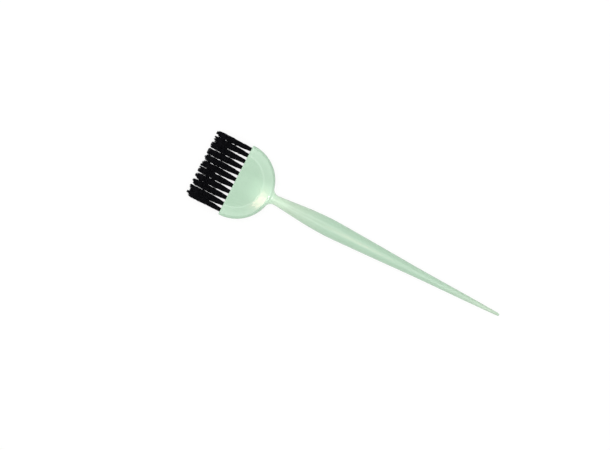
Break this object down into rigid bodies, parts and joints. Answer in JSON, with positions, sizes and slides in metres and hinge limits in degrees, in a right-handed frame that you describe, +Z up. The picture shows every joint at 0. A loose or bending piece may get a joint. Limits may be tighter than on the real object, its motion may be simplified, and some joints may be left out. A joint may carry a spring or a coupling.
{
  "type": "tint brush",
  "caption": "Wide hairdressing tint brush: half-round head with a straight front edge of black bristle tufts, narrow neck, swelling grip and long thin tail.",
  "frame": {"origin": "under the middle of the whole length and width, on the surface that the head's flat underside lies on", "axes": "+X from the bristle tips to the tail, +Y across the brush, +Z up through the head's thickness"},
  "size_m": [0.26, 0.06, 0.0128],
  "materials": {
    "mint_plastic": "glossy pale mint moulding",
    "black_nylon": "black nylon filament, slightly shiny",
    "anchor_metal": "flat drawn wire"
  },
  "bodies": {
    "root": {"handle": "mint_plastic", "anchor_wires_row1": "anchor_metal", "tuft_row1_col01": "black_nylon", "tuft_row1_col02": "black_nylon", "tuft_row1_col03": "black_nylon", "tuft_row1_col04": "black_nylon", "tuft_row1_col05": "black_nylon", "tuft_row1_col06": "black_nylon", "tuft_row1_col07": "black_nylon", "tuft_row1_col08": "black_nylon", "tuft_row1_col09": "black_nylon", "tuft_row1_col10": "black_nylon", "tuft_row1_col11": "black_nylon", "anchor_wires_row2": "anchor_metal", "tuft_row2_col01": "black_nylon", "tuft_row2_col02": "black_nylon", "tuft_row2_col03": "black_nylon", "tuft_row2_col04": "black_nylon", "tuft_row2_col05": "black_nylon", "tuft_row2_col06": "black_nylon", "tuft_row2_col07": "black_nylon", "tuft_row2_col08": "black_nylon", "tuft_row2_col09": "black_nylon", "tuft_row2_col10": "black_nylon", "tuft_row2_col11": "black_nylon", "anchor_wires_row3": "anchor_metal", "tuft_row3_col01": "black_nylon", "tuft_row3_col02": "black_nylon", "tuft_row3_col03": "black_nylon", "tuft_row3_col04": "black_nylon", "tuft_row3_col05": "black_nylon", "tuft_row3_col06": "black_nylon", "tuft_row3_col07": "black_nylon", "tuft_row3_col08": "black_nylon", "tuft_row3_col09": "black_nylon", "tuft_row3_col10": "black_nylon", "tuft_row3_col11": "black_nylon"}
  },
  "joints": []
}
